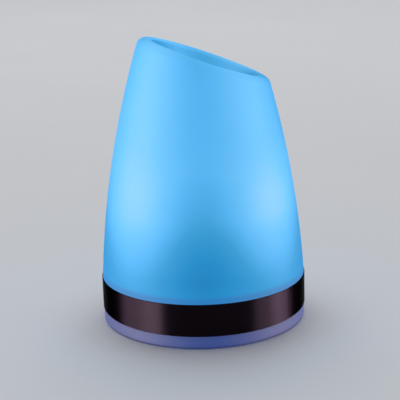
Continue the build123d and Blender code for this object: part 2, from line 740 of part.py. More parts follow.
# ---- charging port, each piece built facing +X and then turned to its place ----
def arc_plate(radii, side_span, z_span):
    """A piece of a tube about the lamp's axis."""
    return ring(*radii, *z_span) & block(BACK_SPAN, side_span, z_span)


def make_port_frame():
    """The moulded frame in the window: it carries the cover and leads to the socket."""
    frame = ring(TUB_WALL_IN, FRAME_FACE_R, GLOW_RING_TOP, BAND_TOP) & port_window()
    room = (COVER_SPAN[0] - COVER_GAP, COVER_SPAN[1] + COVER_GAP)
    sides = (COVER_FREE_END - COVER_GAP, HINGE_Y + HINGE_RELIEF)
    frame -= arc_plate((COVER_R[0] - COVER_GAP, BACK_SPAN[1]), sides, room)
    frame -= disc(KNUCKLE_RADIUS + COVER_GAP, *room, HINGE_X, HINGE_Y)
    mouth_width = SOCKET_WIDTH + 2 * FIT
    mouth_height = SOCKET_HEIGHT + 2 * FIT
    frame -= slot_block(mouth_width, mouth_height, *BACK_SPAN, PORT_Z, SOCKET_HEIGHT / 2)
    notch_place, notch_radius = NAIL_NOTCH
    frame -= Pos(notch_place, COVER_FREE_END, PORT_Z) * Sphere(notch_radius)
    frame -= disc(PIN_RADIUS, *PIN_SPAN, HINGE_X, HINGE_Y)
    return turned(frame, PORT_ANGLE)


def make_port_cover():
    """The curved cover, with the knuckle that turns on the pin."""
    cover = arc_plate(COVER_R, (COVER_FREE_END, HINGE_Y), COVER_SPAN)
    cover += disc(KNUCKLE_RADIUS, *COVER_SPAN, HINGE_X, HINGE_Y)
    cover -= disc(PIN_RADIUS + PIN_RUNNING_GAP, *COVER_SPAN, HINGE_X, HINGE_Y)
    return turned(cover, PORT_ANGLE)


def make_charging_socket():
    """The metal socket shell with its contact tongue."""
    back = SOCKET_MOUTH_R - SOCKET_LENGTH
    hollow_back = back + SOCKET_BACK_WALL
    shell = slot_block(
        SOCKET_WIDTH, SOCKET_HEIGHT, back, SOCKET_MOUTH_R, PORT_Z, SOCKET_CORNER
    )
    hollow_width = SOCKET_WIDTH - 2 * SOCKET_SHELL
    hollow_height = SOCKET_HEIGHT - 2 * SOCKET_SHELL
    hollow_corner = SOCKET_CORNER - SOCKET_SHELL
    hollow = slot_block(
        hollow_width, hollow_height, hollow_back, SOCKET_MOUTH_R, PORT_Z, hollow_corner
    )
    width, thick = TONGUE
    tongue = block(
        (back, SOCKET_MOUTH_R - TONGUE_SET_BACK),
        (-width / 2, width / 2),
        (PORT_Z - thick / 2, PORT_Z + thick / 2),
    )
    return turned(shell - hollow + tongue, PORT_ANGLE)


def make_hinge_pin():
    """The cover's steel hinge pin."""
    return turned(disc(PIN_RADIUS, *PIN_SPAN, HINGE_X, HINGE_Y), PORT_ANGLE)


nodes["port_frame"] = make_port_frame()
nodes["port_cover"] = make_port_cover()
nodes["charging_socket"] = make_charging_socket()
nodes["hinge_pin"] = make_hinge_pin()


# ---- power button and charge light ----
def make_button():
    """The button cap with its flange behind the wall and its stem to the switch."""
    near, far = BUTTON_FLANGE_R
    cap = rod(BUTTON_RADIUS, far, BUTTON_FACE_R, BUTTON_Z)
    cap = fillet(cap.edges().sort_by(Axis.X)[-1], BUTTON_EDGE_ROUND)
    button = cap + rod(BUTTON_FLANGE_RADIUS, near, far, BUTTON_Z)
    button += rod(STEM_RADIUS, PLUNGER_R[1], near, BUTTON_Z)
    return turned(button, BUTTON_ANGLE)


def make_button_spring():
    """The coil spring round the stem, between the switch and the flange."""
    low = SWITCH_R[1] + SPRING_WIRE_RADIUS
    high = BUTTON_FLANGE_R[0] - SPRING_WIRE_RADIUS
    path = Helix((high - low) / SPRING_TURNS, high - low, SPRING_COIL_RADIUS)
    section = Plane(origin=path @ 0, z_dir=path % 0) * Circle(SPRING_WIRE_RADIUS)
    coil = sweep(section, path=path, is_frenet=True)
    return turned(Pos(low, 0, BUTTON_Z) * Rot(0, 90, 0) * coil, BUTTON_ANGLE)


def make_tact_switch():
    """The side-acting switch that the button works, with a bore for its plunger."""
    half = SWITCH_WIDTH / 2
    body = block(SWITCH_R, (-half, half), (BOARD_TOP, BOARD_TOP + SWITCH_HEIGHT))
    body -= rod(PLUNGER_RADIUS + FIT, SWITCH_BORE_R, SWITCH_R[1], BUTTON_Z)
    return turned(body, BUTTON_ANGLE)


nodes["power_button"] = make_button()
nodes["button_spring"] = make_button_spring()
nodes["tact_switch"] = make_tact_switch()
nodes["switch_plunger"] = turned(rod(PLUNGER_RADIUS, *PLUNGER_R, BUTTON_Z), BUTTON_ANGLE)
nodes["light_pipe"] = turned(rod(PLUNGER_RADIUS, *LIGHT_PIPE_R, BUTTON_Z), LIGHT_PIPE_ANGLE)
nodes["charge_led"] = on_board(1.6, 1.2, 1.9, 0.0, 46.7)

# ---- write one STEP file for each node ----
os.makedirs("parts", exist_ok=True)
for name, shape in nodes.items():
    export_step(shape, f"parts/{name}.step")
print(len(nodes), "nodes written")
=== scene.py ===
import json
import math

import bmesh
import bpy
from mathutils import Matrix, Vector


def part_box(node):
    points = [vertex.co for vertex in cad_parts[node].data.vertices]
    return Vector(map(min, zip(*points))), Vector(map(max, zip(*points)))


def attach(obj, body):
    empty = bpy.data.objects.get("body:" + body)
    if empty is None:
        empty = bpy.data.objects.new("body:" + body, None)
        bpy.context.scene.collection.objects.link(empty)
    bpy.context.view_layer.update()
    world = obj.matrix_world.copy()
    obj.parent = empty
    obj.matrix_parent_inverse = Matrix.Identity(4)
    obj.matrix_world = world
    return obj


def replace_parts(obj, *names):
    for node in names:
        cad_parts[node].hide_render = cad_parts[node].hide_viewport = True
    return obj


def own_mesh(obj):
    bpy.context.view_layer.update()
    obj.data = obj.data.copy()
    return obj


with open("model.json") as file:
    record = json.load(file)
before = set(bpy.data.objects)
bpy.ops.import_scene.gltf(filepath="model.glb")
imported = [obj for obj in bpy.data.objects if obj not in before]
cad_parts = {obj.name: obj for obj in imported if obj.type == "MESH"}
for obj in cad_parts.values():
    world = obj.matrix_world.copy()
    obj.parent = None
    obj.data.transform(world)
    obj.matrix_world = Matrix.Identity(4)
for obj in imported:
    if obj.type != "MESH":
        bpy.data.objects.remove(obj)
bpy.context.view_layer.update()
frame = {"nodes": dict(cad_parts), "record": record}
nodes = frame["nodes"]
MM = 0.001

# ---- places on the lamp, in metres and radians ----
SLANT = math.radians(20.0)          # the slanted top falls towards +X
SLANT_HEIGHT = 142.6 * MM           # its height on the axis
DISH_CENTRE = 3.94 * MM             # along the slant, from the axis towards +X
DISH_HALF_LENGTH = 29.03 * MM
DISH_HALF_WIDTH = 26.62 * MM
DISH_DEPTH = 6.5 * MM
PORT_ANGLE = math.radians(104.0)
BUTTON_ANGLE = math.radians(76.0)
FACE_ANGLES = [math.radians(45 + 90 * quarter) for quarter in range(4)]     # of the LED boards
GLOW_TURN = math.radians(-4.0)      # the bright columns sit turned by this much about the axis
GLOW_FADE = (18 * MM, 33 * MM)      # distances from the axis that the columns fade in between
SHADE_GLOW = (24 * MM, 154 * MM)    # the heights that the shade's glow curves run between
RING_GLOW = (0.8 * MM, 6.8 * MM)    # the same for the base ring
SMOOTH_BELOW = math.radians(40.0)   # edges that turn by less are shaded smooth

# the mix node's colour sockets share their names with its other sockets, so they go by number
COLOUR_A = 6
COLOUR_B = 7
COLOUR_RESULT = 2


# ================================================================ node helpers
class Maker:
    """A material with a Principled shader, and short names for the nodes that feed it."""

    def __init__(self, name):
        self.material = bpy.data.materials.new(name)
        self.material.use_nodes = True
        self.tree = self.material.node_tree
        self.shader = self.tree.nodes["Principled BSDF"]
        self.object_place = self.tree.nodes.new("ShaderNodeTexCoord").outputs["Object"]

    def put(self, value, socket):
        """Links a node's output to a socket, or sets the socket to a plain value."""
        if isinstance(value, bpy.types.NodeSocket):
            self.tree.links.new(value, socket)
        elif socket.type == "RGBA":
            socket.default_value = (*value, 1.0)
        else:
            socket.default_value = value

    def set(self, **values):
        """Sets the shader's own sockets, with _ for a space in each name."""
        for key, value in values.items():
            self.put(value, self.shader.inputs[key.replace("_", " ")])

    def math(self, operation, a, b=0.0, clamp=False):
        node = self.tree.nodes.new("ShaderNodeMath")
        node.operation = operation
        node.use_clamp = clamp
        self.put(a, node.inputs[0])
        self.put(b, node.inputs[1])
        return node.outputs[0]

    def axes(self):
        """The object coordinates, in metres."""
        node = self.tree.nodes.new("ShaderNodeSeparateXYZ")
        self.put(self.object_place, node.inputs[0])
        return node.outputs

    def span(self, value, low, high, smooth=False):
        """0 at low, 1 at high."""
        node = self.tree.nodes.new("ShaderNodeMapRange")
        node.interpolation_type = "SMOOTHSTEP" if smooth else "LINEAR"
        self.put(value, node.inputs["Value"])
        node.inputs["From Min"].default_value = low
        node.inputs["From Max"].default_value = high
        return node.outputs["Result"]

    def curve(self, value, points):
        """A colour ramp: points are (place, colour or number)."""
        node = self.tree.nodes.new("ShaderNodeValToRGB")
        ramp = node.color_ramp
        while len(ramp.elements) < len(points):
            ramp.elements.new(0.5)
        for element, (place, colour) in zip(ramp.elements, points):
            element.position = place
            shade = colour if hasattr(colour, "__len__") else (colour, colour, colour)
            element.color = (*shade, 1.0)
        self.put(value, node.inputs["Fac"])
        return node.outputs["Color"]

    def noise(self, scale, detail=3.0, roughness=0.5, stretch=(1.0, 1.0, 1.0)):
        """Noise in object space, with scale in lumps per metre."""
        mapping = self.tree.nodes.new("ShaderNodeMapping")
        mapping.inputs["Scale"].default_value = stretch
        self.put(self.object_place, mapping.inputs["Vector"])
        node = self.tree.nodes.new("ShaderNodeTexNoise")
        node.inputs["Scale"].default_value = scale
        node.inputs["Detail"].default_value = detail
        node.inputs["Roughness"].default_value = roughness
        self.put(mapping.outputs["Vector"], node.inputs["Vector"])
        return node.outputs["Fac"]

    def cells(self, scale):
        """The distance to the nearest of scattered points, with scale in points per metre."""
        node = self.tree.nodes.new("ShaderNodeTexVoronoi")
        node.inputs["Scale"].default_value = scale
        self.put(self.object_place, node.inputs["Vector"])
        return node.outputs["Distance"]

    def mix(self, factor, a, b):
        """Colour a at 0, colour b at 1."""
        node = self.tree.nodes.new("ShaderNodeMix")
        node.data_type = "RGBA"
        self.put(factor, node.inputs[0])
        self.put(a, node.inputs[COLOUR_A])
        self.put(b, node.inputs[COLOUR_B])
        return node.outputs[COLOUR_RESULT]

    def bump(self, height, strength, distance):
        """Bumps as high as distance, in metres."""
        node = self.tree.nodes.new("ShaderNodeBump")
        node.inputs["Strength"].default_value = strength
        node.inputs["Distance"].default_value = distance
        self.put(height, node.inputs["Height"])
        self.put(node.outputs["Normal"], self.shader.inputs["Normal"])
        return self


def tone(red, green, blue):
    """A colour given in screen values from 0 to 255, as scene-linear numbers."""

    def linear(value):
        value /= 255.0
        return value / 12.92 if value <= 0.04045 else ((value + 0.055) / 1.055) ** 2.4

    return (linear(red), linear(green), linear(blue))


# ================================================================ the lit pieces
def from_axis(m):
    """The distance from the lamp's axis."""
    x, y, _ = m.axes()
    return m.math("SQRT", m.math("ADD", m.math("MULTIPLY", x, x), m.math("MULTIPLY", y, y)))


def four_lobes(m):
    """1 in front of each of the four LED boards, 0 between them, and 0.5 on the axis."""
    x, y, _ = m.axes()
    around = m.math("ARCTAN2", x, m.math("MULTIPLY", y, -1.0))
    around = m.math("SUBTRACT", around, GLOW_TURN)
    wave = m.math("COSINE", m.math("MULTIPLY", around, 4.0))
    swing = m.math("MULTIPLY", m.span(from_axis(m), *GLOW_FADE, smooth=True), 0.5)
    return m.math("SUBTRACT", 0.5, m.math("MULTIPLY", wave, swing))


def shade_level(m, mottle):
    """How bright the shade glows by height and angle, from 0 to 1, without the dish."""
    mottle_swing = 0.05
    low_side_dim = 0.13             # at the top of the side that the slant falls to
    low_side_reach = 34 * MM
    low_side_heights = (70 * MM, 105 * MM)
    x, _, z = m.axes()
    height = m.span(z, *SHADE_GLOW)
    between = m.curve(
        height,
        [
            (0.0, 0.24),
            (0.08, 0.16),
            (0.16, 0.23),
            (0.32, 0.46),
            (0.5, 0.61),
            (0.75, 0.59),
            (1.0, 0.56),
        ],
    )
    facing = m.curve(
        height,
        [
            (0.0, 0.40),
            (0.08, 0.49),
            (0.22, 0.74),
            (0.32, 0.94),
            (0.4, 0.98),
            (0.6, 0.89),
            (1.0, 0.82),
        ],
    )
    level = m.mix(four_lobes(m), between, facing)
    swing = m.math("MULTIPLY", m.math("SUBTRACT", mottle, 0.5), mottle_swing)
    level = m.math("ADD", level, swing)
    towards_low_side = m.span(x, 0.0, low_side_reach, smooth=True)
    upper = m.span(z, *low_side_heights, smooth=True)
    low_side = m.math("MULTIPLY", towards_low_side, upper)
    return m.math("SUBTRACT", level, m.math("MULTIPLY", low_side, low_side_dim))


def dish_painted_shade(m):
    """How much darker the dish in the slanted top is: darkest at its floor and its high end. This
    is partly the glow dimming behind the thick rim and partly painted shade in the recess and under
    the rim.
    """
    wall_dim = 0.10
    floor_dim = 0.07
    high_end_dim = 0.36
    outer_edge = 1.07               # in half lengths and widths of the dish: no dimming past it
    # heights above the slanted plane, which is the rim's, that each part grows between
    none_below = (-9 * MM, -8 * MM)
    wall_heights = (-0.3 * MM, -2.4 * MM)
    floor_heights = (-4.0 * MM, -DISH_DEPTH)
    rim_heights = (-0.2 * MM, -1.2 * MM)
    high_end_places = (-0.3, -0.95)     # along the dish, in its half lengths
    x, y, z = m.axes()
    rise = m.math("SUBTRACT", z, SLANT_HEIGHT)
    down_slant = m.math(
        "ADD",
        m.math("MULTIPLY", x, math.cos(SLANT)),
        m.math("MULTIPLY", rise, -math.sin(SLANT)),
    )
    above = m.math(
        "ADD",
        m.math("MULTIPLY", x, math.sin(SLANT)),
        m.math("MULTIPLY", rise, math.cos(SLANT)),
    )
    across = m.math("DIVIDE", y, DISH_HALF_WIDTH)
    along = m.math("DIVIDE", m.math("SUBTRACT", down_slant, DISH_CENTRE), DISH_HALF_LENGTH)
    from_centre = m.math(
        "SQRT",
        m.math("ADD", m.math("MULTIPLY", along, along), m.math("MULTIPLY", across, across)),
    )
    in_dish = m.span(from_centre, outer_edge, 1.0, smooth=True)
    near_top = m.span(above, *none_below)
    wall = m.math("MULTIPLY", m.span(above, *wall_heights, smooth=True), wall_dim)
    floor = m.math("MULTIPLY", m.span(above, *floor_heights, smooth=True), floor_dim)
    high_end = m.math("MULTIPLY", m.span(along, *high_end_places, smooth=True), high_end_dim)
    under_rim = m.span(above, *rim_heights, smooth=True)
    # painted shade: the dish's walls and floor, and the wall under the rim at its high end, are
    # darkened in the glow
    dim = m.math("ADD", m.math("ADD", wall, floor), m.math("MULTIPLY", high_end, under_rim))
    return m.math("MULTIPLY", dim, m.math("MULTIPLY", in_dish, near_top))


def shade_material():
    """Milky plastic lit from inside: four bright columns, darker near the base, painted shade in
    the dish, and a base colour painted dark navy as shade.
    """
    lip_heights = (28.5 * MM, 25.5 * MM)
    lip_share = 0.85
    m = Maker("milky_shade_lit")
    mottle = m.noise(45.0, detail=2.0)
    level = m.math("SUBTRACT", shade_level(m, mottle), dish_painted_shade(m), clamp=True)
    glow = m.curve(
        level,
        [
            (0.0, tone(6, 96, 156)),
            (0.24, tone(24, 137, 194)),
            (0.42, tone(55, 154, 206)),
            (0.60, tone(87, 181, 238)),
            (0.80, tone(113, 200, 250)),
            (1.0, tone(153, 213, 254)),
        ],
    )
    # the shade's foot, just above the band, is tinted more violet: partly its glow, partly a
    # painted reflection of warm light on its rounded lip
    lip = m.span(m.axes()[2], *lip_heights, smooth=True)
    lip_glow_and_painted_reflection = m.mix(four_lobes(m), tone(36, 112, 178), tone(72, 120, 174))
    m.set(
        # painted shade: the dark navy base colour stands in for a dark room round the lamp; the
        # milky plastic itself is pale
        Base_Color=m.mix(mottle, (0.006, 0.030, 0.070), (0.009, 0.038, 0.088)),
        Emission_Color=m.mix(m.math("MULTIPLY", lip, lip_share), glow, lip_glow_and_painted_reflection),
        Emission_Strength=0.86,
        Roughness=m.span(m.noise(600.0), -1.4, 1.7),
        Specular_IOR_Level=0.04,
    )
    return m.bump(m.noise(2500.0, detail=2.0), 0.04, 0.0001).material


def glow_base_material():
    """Translucent base plastic that glows lavender from the light that leaks down; its near-black
    base colour is painted shade.
    """
    m = Maker("glow_base_lit")
    rim_reach = (38 * MM, 54.5 * MM)    # distances from the axis that the glow grows between
    rim = m.span(from_axis(m), *rim_reach)
    height = m.span(m.axes()[2], *RING_GLOW)
    edge = m.curve(height, [(0.0, 0.85), (0.45, 1.0), (0.8, 0.9), (1.0, 0.75)])
    m.set(
        # painted shade: the near-black base colour stands in for a dark room round the lamp; the
        # milky plastic itself is pale
        Base_Color=m.mix(m.noise(70.0), (0.010, 0.012, 0.030), (0.014, 0.017, 0.040)),
        Emission_Color=m.mix(four_lobes(m), tone(28, 55, 121), tone(74, 75, 121)),
        Emission_Strength=m.math("MULTIPLY", rim, edge),
        Roughness=m.span(m.noise(700.0), -1.2, 2.4),
    )
    return m.bump(m.noise(1800.0), 0.05, 0.0001).material


# ================================================================ metals and plastics
def band_material():
    """Polished steel with very fine turning lines round the band; its near-black colour is a
    painted dark reflection, standing in for a dark room round it.
    """
    m = Maker("polished_band_painted_dark")
    lines = m.noise(60.0, detail=4.0, stretch=(1.0, 1.0, 260.0))
    smudge = m.noise(35.0, detail=5.0, roughness=0.6)
    m.set(
        # painted reflection: near-black metal stands in for polished steel reflecting a dark room,
        # and its slight mauve tint colours the streaks it reflects
        Base_Color=m.mix(smudge, (0.0135, 0.0086, 0.0124), (0.0165, 0.0103, 0.0150)),
        Metallic=1.0,
        Specular_Tint=(0.34, 0.34, 0.34),
        Roughness=m.math("ADD", m.math("MULTIPLY", smudge, 0.05), 0.38),
        Anisotropic=1.0,
        Anisotropic_Rotation=0.25,
    )
    tangent = m.tree.nodes.new("ShaderNodeTangent")
    tangent.direction_type = "RADIAL"
    tangent.axis = "Z"
    m.put(tangent.outputs["Tangent"], m.shader.inputs["Tangent"])
    return m.bump(lines, 0.05, 0.00005).material


def plastic(name, colour, roughness=0.5, grain=1400.0, vary=0.12):
    """Moulded plastic: a fine spark-eroded grain, slight shade changes and rubbed patches."""
    m = Maker(name)
    light = tuple(min(1.0, c * (1 + vary) + 0.004) for c in colour)
    dark = tuple(c * (1 - vary) for c in colour)
    m.set(
        Base_Color=m.mix(m.noise(90.0, detail=4.0), dark, light),
        Roughness=m.math("ADD", m.math("MULTIPLY", m.noise(220.0), 0.16), roughness - 0.08),
    )
    return m.bump(m.noise(grain, detail=2.0), 0.12, 0.00008).material


def metal(name, colour, roughness, stretch=(1.0, 1.0, 40.0)):
    """Plated or drawn metal with faint lines along one direction."""
    m = Maker(name)
    vary = 0.1
    light = tuple(min(1.0, c * (1 + vary)) for c in colour)
    dark = tuple(c * (1 - vary) for c in colour)
    lines = m.noise(180.0, detail=4.0, stretch=stretch)
    m.set(
        Base_Color=m.mix(m.noise(150.0), dark, light),
        Metallic=1.0,
        Roughness=m.math("ADD", m.math("MULTIPLY", lines, 0.2), roughness - 0.1),
    )
    return m.bump(lines, 0.1, 0.00004).material


def rubber(name, colour):
    """Soft matt rubber with a dusty bloom."""
    m = Maker(name)
    bloom = m.span(m.noise(260.0, detail=5.0), 0.45, 0.75, smooth=True)
    dusty = tuple(c * 1.6 + 0.01 for c in colour)
    rough = m.math("ADD", m.math("MULTIPLY", bloom, 0.12), 0.72)
    m.set(Base_Color=m.mix(bloom, colour, dusty), Roughness=rough)
    return m.bump(m.noise(3000.0), 0.15, 0.00005).material


def board(name, mask, trace):
    """A circuit board: copper tracks that show through patches of the solder mask."""
    m = Maker(name)
    tracks = m.tree.nodes.new("ShaderNodeTexBrick")
    tracks.inputs["Scale"].default_value = 260.0
    tracks.inputs["Mortar Size"].default_value = 0.06
    tracks.offset = 0.35
    m.put(m.object_place, tracks.inputs["Vector"])
    plate = m.span(m.noise(120.0, detail=1.0), 0.5, 0.53)
    m.set(
        Base_Color=m.mix(m.math("MULTIPLY", tracks.outputs["Fac"], plate), mask, trace),
        Roughness=m.math("ADD", m.math("MULTIPLY", m.noise(500.0), 0.1), 0.27),
        Coat_Weight=0.4,
        Coat_Roughness=0.15,
    )
    return m.bump(tracks.outputs["Fac"], 0.2, 0.00004).material


def led_material():
    """An LED package: grainy yellow phosphor that glows light blue."""
    m = Maker("led_package_lit")
    grains = m.cells(1400.0)
    phosphor = m.mix(m.span(grains, 0.0, 0.7), tone(245, 205, 90), tone(250, 228, 150))
    m.set(
        Base_Color=phosphor,
        Roughness=m.math("ADD", m.math("MULTIPLY", grains, 0.2), 0.3),
        Emission_Color=m.mix(grains, tone(120, 200, 255), tone(170, 225, 255)),
        Emission_Strength=1.5,
    )
    return m.material


def cell_material():
    """Shrink film over the battery cell, with fine lengthwise pull lines."""
    m = Maker("cell_shrink_film")
    pull = m.noise(140.0, detail=3.0, stretch=(0.15, 1.0, 1.0))
    m.set(
        Base_Color=m.mix(pull, (0.035, 0.14, 0.32), (0.06, 0.20, 0.42)),
        Roughness=m.math("ADD", m.math("MULTIPLY", pull, 0.12), 0.25),
        Coat_Weight=0.5,
        Coat_Roughness=0.1,
    )
    return m.bump(pull, 0.2, 0.0001).material


def strap_material():
    """Woven nylon strap: warp and weft ribs."""
    m = Maker("woven_strap")
    x, y, z = m.axes()
    ribs = 9000.0                   # radians per metre
    warp = m.math("SINE", m.math("MULTIPLY", x, ribs))
    weft = m.math("SINE", m.math("MULTIPLY", m.math("ADD", y, z), ribs))
    weave = m.math("MULTIPLY", warp, weft)
    thread = m.span(weave, -1.0, 1.0)
    m.set(
        Base_Color=m.mix(thread, (0.02, 0.02, 0.024), (0.07, 0.07, 0.08)),
        Roughness=0.85,
        Sheen_Weight=0.3,
    )
    return m.bump(thread, 0.5, 0.0001).material


def clear_material():
    """Clear moulded light pipe."""
    m = Maker("clear_light_pipe")
    haze = m.noise(800.0)
    m.set(
        Base_Color=m.mix(haze, (0.8, 0.86, 0.92), (0.9, 0.94, 0.97)),
        Roughness=m.math("ADD", m.math("MULTIPLY", haze, 0.1), 0.08),
        Transmission_Weight=0.8,
        IOR=1.49,
    )
    return m.material


looks = {
    "shade_plastic": shade_material(),
    "polished_band": band_material(),
    "glow_base": glow_base_material(),
    "soft_rubber": rubber("soft_rubber", (0.022, 0.022, 0.026)),
    "fastener_steel": metal("zinc_plated_steel", (0.58, 0.58, 0.60), 0.32),
    "white_plastic": plastic("white_plastic", (0.80, 0.80, 0.78), 0.45, vary=0.04),
    "pillar_aluminium": metal("anodised_aluminium", (0.70, 0.71, 0.73), 0.4, (40.0, 40.0, 1.0)),
    "white_board": board("white_led_board", (0.75, 0.76, 0.74), (0.62, 0.64, 0.62)),
    "led_package": led_material(),
    "green_board": board("green_circuit_board", (0.006, 0.075, 0.035), (0.02, 0.16, 0.07)),
    "shield_metal": metal("tinned_steel", (0.62, 0.61, 0.58), 0.35, (30.0, 1.0, 1.0)),
    "chip_moulding": plastic("chip_moulding", (0.018, 0.018, 0.02), 0.6, grain=2600.0),
    "capacitor_can": metal("capacitor_can", (0.68, 0.69, 0.71), 0.28, (1.0, 1.0, 60.0)),
    "connector_plastic": plastic("connector_plastic", (0.70, 0.66, 0.55), 0.5, vary=0.05),
    "wire_white": plastic("white_wire_cover", (0.68, 0.68, 0.70), 0.45, grain=900.0, vary=0.05),
    "lead_red": plastic("red_wire_cover", (0.45, 0.02, 0.015), 0.42, grain=900.0),
    "lead_black": plastic("black_wire_cover", (0.015, 0.015, 0.016), 0.42, grain=900.0),
    "cell_wrap": cell_material(),
    "cradle_plastic": plastic("black_cradle_plastic", (0.03, 0.03, 0.034), 0.55),
    "strap_fabric": strap_material(),
    "trim_plastic": plastic("dark_trim_plastic", (0.028, 0.024, 0.027), 0.38),
    "clear_plastic": clear_material(),
}

for part in frame["record"]["subparts"]:
    for material_slot in nodes[part["node"]].material_slots:
        material_slot.material = looks[part["material_slot"]]


# ================================================================ mesh code
def outward(angle):
    """The level direction away from the lamp's axis at an angle."""
    return Vector((math.cos(angle), math.sin(angle), 0.0))


def reach(node, direction):
    """How far a CAD node goes in a direction, measured from the origin."""
    return max(vertex.co.dot(direction) for vertex in nodes[node].data.vertices)


def middle(node):
    """The middle of a CAD node's box."""
    low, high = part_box(node)
    return (low + high) / 2


def spread(count, pitch):
    """Places along a line, evenly spaced about 0."""
    return [(index - (count - 1) / 2) * pitch for index in range(count)]


def at(x, y, z):
    return Matrix.Translation((x, y, z))


def facing_out(angle, radius, z):
    """A place whose own Z points away from the lamp's axis, and whose own Y points up."""
    axis = outward(angle)
    up = Vector((0.0, 0.0, 1.0))
    turn = Matrix((up.cross(axis), up, axis)).transposed().to_4x4()
    return at(*(axis * radius + up * z)) @ turn


def in_metres(outline):
    """An outline of (radius, height) in millimetres, as metres."""
    return [(radius * MM, height * MM) for radius, height in outline]


def lathe(mesh, outline, place, segments=48):
    """Turns an outline of (radius, height) about the place's own Z."""
    rings = []
    for radius, height in outline:
        count = segments if radius > 0 else 1
        steps = [math.tau * index / segments for index in range(count)]
        points = [Vector((radius * math.cos(t), radius * math.sin(t), height)) for t in steps]
        rings.append([mesh.verts.new(place @ point) for point in points])
    for low, high in zip(rings, rings[1:]):
        for index in range(segments):
            after = index + 1
            corners = [
                low[index % len(low)],
                low[after % len(low)],
                high[after % len(high)],
                high[index % len(high)],
            ]
            mesh.faces.new(list(dict.fromkeys(corners)))


def tube(mesh, path, radius, sides=8, flat=1.0):
    """A closed-ended tube along points. flat below 1 makes it oval, with its thin way aslant."""
    rings = []
    side = None
    for index, point in enumerate(path):
        before = path[max(index - 1, 0)]
        after = path[min(index + 1, len(path) - 1)]
        along = (after - before).normalized()
        if side is None:
            side = along.orthogonal().normalized()
        side = (side - along * side.dot(along)).normalized()
        other = along.cross(side) * flat
        steps = [math.tau * (corner + 0.5) / sides for corner in range(sides)]
        spokes = [(side * math.cos(t) + other * math.sin(t)) * radius for t in steps]
        rings.append([mesh.verts.new(point + spoke) for spoke in spokes])
    for low, high in zip(rings, rings[1:]):
        for index in range(sides):
            after = (index + 1) % sides
            mesh.faces.new((low[index], low[after], high[after], high[index]))
    mesh.faces.new(list(reversed(rings[0])))
    mesh.faces.new(rings[-1])


def chip(mesh, size, place, edge=0.12 * MM):
    """A small block with broken edges, whose underside rests on the place's own XY plane."""
    made = bmesh.ops.create_cube(mesh, size=1.0)["verts"]
    scale = Matrix.Diagonal((*size, 1.0))
    bmesh.ops.transform(mesh, matrix=place @ at(0, 0, size[2] / 2) @ scale, verts=made)
    edges = list({edge_of for vertex in made for edge_of in vertex.link_edges})
    widest_edge = min(size) / 4
    bmesh.ops.bevel(mesh, geom=edges, offset=min(edge, widest_edge), segments=1, affect="EDGES")


def piece(name, mesh, body, slot):
    """Makes the mesh into a piece that rides a body, and gives it a record slot's material."""
    bmesh.ops.recalc_face_normals(mesh, faces=mesh.faces)
    for face in mesh.faces:
        face.smooth = True
    for edge in mesh.edges:
        edge.smooth = edge.calc_face_angle(0.0) < SMOOTH_BELOW
    data = bpy.data.meshes.new(name)
    mesh.to_mesh(data)
    mesh.free()
    data.materials.append(looks[slot])
    made = bpy.data.objects.new(name, data)
    bpy.context.scene.collection.objects.link(made)
    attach(made, body)
    return made


# ================================================================ button and port details
def add_power_mark():
    """The raised power sign on the button: an open ring and an upright bar."""
    line = 0.24 * MM
    flat = 0.5
    sunk = 0.02 * MM
    ring_radius = 1.7 * MM
    ring_steps = 40
    half_gap = math.radians(38.0)
    bar_heights = (0.25, 0.7, 1.15)     # in ring radii from the middle
    face = reach("power_button", outward(BUTTON_ANGLE))
    place = facing_out(BUTTON_ANGLE, face - sunk, middle("power_button").z)
    start = math.pi / 2 + half_gap
    sweep = math.tau - 2 * half_gap
    steps = [start + sweep * index / ring_steps for index in range(ring_steps + 1)]
    ring = [Vector((math.cos(t), math.sin(t), 0.0)) * ring_radius for t in steps]
    bar = [Vector((0.0, height * ring_radius, 0.0)) for height in bar_heights]
    mesh = bmesh.new()
    tube(mesh, [place @ point for point in ring], line, flat=flat)
    tube(mesh, [place @ point for point in bar], line, flat=flat)
    piece("power_mark", mesh, "button", "wire_white")


def add_button_coil():
    """The button's return spring as a round wire coil with closed end turns."""
    wire = 0.25 * MM
    coil = 2.5 * MM
    turns = 4.5
    steps = 160
    closed = 0.14                       # the share of the turns that lies flat at each end
    axis = outward(BUTTON_ANGLE)
    near = -reach("button_spring", -axis)
    far = reach("button_spring", axis)
    height = middle("power_button").z
    place = facing_out(BUTTON_ANGLE, 0.0, height)
    path = []
    for index in range(steps + 1):
        share = index / steps
        climb = min(max((share - closed) / (1 - 2 * closed), 0.0), 1.0)
        along = near + wire + climb * (far - near - 2 * wire)
        turn = math.tau * turns * share
        path.append(place @ Vector((coil * math.cos(turn), coil * math.sin(turn), along)))
    mesh = bmesh.new()
    tube(mesh, path, wire)
    made = piece("button_coil", mesh, "lamp", "fastener_steel")
    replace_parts(made, "button_spring")
    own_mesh(made)


def add_cover_ridges():
    """Fine upright ridges for a fingernail near the port cover's free end."""
    count = 3
    from_middle = math.radians(5.6)     # of the port to the outermost ridge
    step = math.radians(0.9)
    face = 55.12 * MM
    radius = 0.2 * MM
    heights = (-2.2 * MM, -2.0 * MM, 0.0, 2.0 * MM, 2.2 * MM)
    centre = middle("port_cover").z
    mesh = bmesh.new()
    for index in range(count):
        foot = outward(PORT_ANGLE - from_middle + step * index) * face
        path = [foot + Vector((0.0, 0.0, centre + height)) for height in heights]
        tube(mesh, path, radius, sides=10)
    piece("cover_ridges", mesh, "cover", "trim_plastic")


